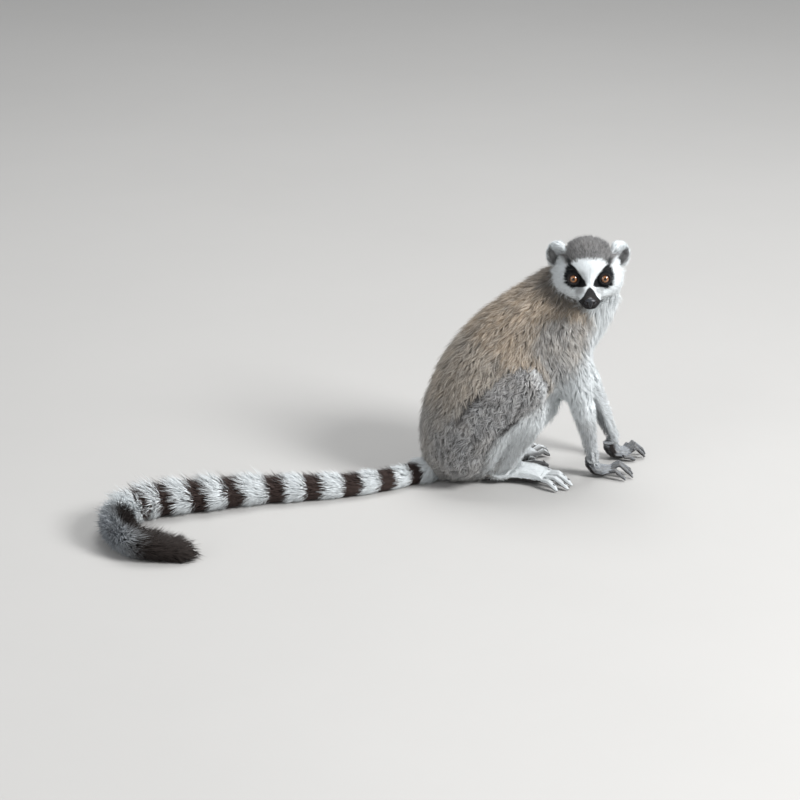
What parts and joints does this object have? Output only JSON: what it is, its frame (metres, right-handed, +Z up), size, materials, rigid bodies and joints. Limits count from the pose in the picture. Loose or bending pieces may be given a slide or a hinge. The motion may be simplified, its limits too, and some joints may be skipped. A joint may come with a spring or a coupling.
{
  "type": "ring-tailed lemur",
  "caption": "Still life-size ring-tailed lemur sitting on its haunches with its hands on the ground, its head turned to its right and its ringed tail laid out behind.",
  "frame": {"origin": "on the floor under the middle of the rump, where the animal sits", "axes": "+X forward from rump to hands along the line of the body, +Y to the animal's own left, +Z up"},
  "size_m": [0.7091, 0.3088, 0.3161],
  "materials": {
    "back_coat": "dense woolly fur, grey-brown with dark hair tips",
    "grey_coat": "dense woolly fur, cool grey, curled at the thigh",
    "arm_coat": "short dense fur, pale grey with darker streaks",
    "pale_coat": "short pale fur, lying flat over shanks and feet",
    "hand_coat": "very short grey fur over dark skin",
    "white_coat": "soft white fur with pointed tufts at the ears",
    "face_coat": "short white fur with dark crown, eye patches and muzzle",
    "ringed_coat": "long tail hair in white and black-brown rings",
    "plume": "long black-brown hair of the tail's end",
    "nose_leather": "moist black skin, fine pebbled",
    "eye": "clear wet cornea over an amber iris"
  },
  "bodies": {
    "root": {"head": "face_coat", "lower_jaw": "face_coat", "nose": "nose_leather", "eye_right": "eye", "eye_left": "eye", "ear_right": "white_coat", "ear_left": "white_coat", "hindquarters": "back_coat", "belly": "grey_coat", "chest": "back_coat", "neck": "back_coat", "thigh_right": "grey_coat", "shank_right": "pale_coat", "thigh_left": "grey_coat", "shank_left": "pale_coat", "upper_arm_right": "arm_coat", "forearm_right": "arm_coat", "upper_arm_left": "arm_coat", "forearm_left": "arm_coat", "hand_right": "hand_coat", "thumb_right": "hand_coat", "index_finger_right": "hand_coat", "middle_finger_right": "hand_coat", "ring_finger_right": "hand_coat", "little_finger_right": "hand_coat", "foot_right": "pale_coat", "big_toe_right": "pale_coat", "second_toe_right": "pale_coat", "third_toe_right": "pale_coat", "fourth_toe_right": "pale_coat", "fifth_toe_right": "pale_coat", "hand_left": "hand_coat", "thumb_left": "hand_coat", "index_finger_left": "hand_coat", "middle_finger_left": "hand_coat", "ring_finger_left": "hand_coat", "little_finger_left": "hand_coat", "foot_left": "pale_coat", "big_toe_left": "pale_coat", "second_toe_left": "pale_coat", "third_toe_left": "pale_coat", "fourth_toe_left": "pale_coat", "fifth_toe_left": "pale_coat", "tail_1": "ringed_coat", "tail_2": "ringed_coat", "tail_3": "ringed_coat", "tail_4": "ringed_coat", "tail_5": "ringed_coat", "tail_6": "plume"}
  },
  "joints": []
}
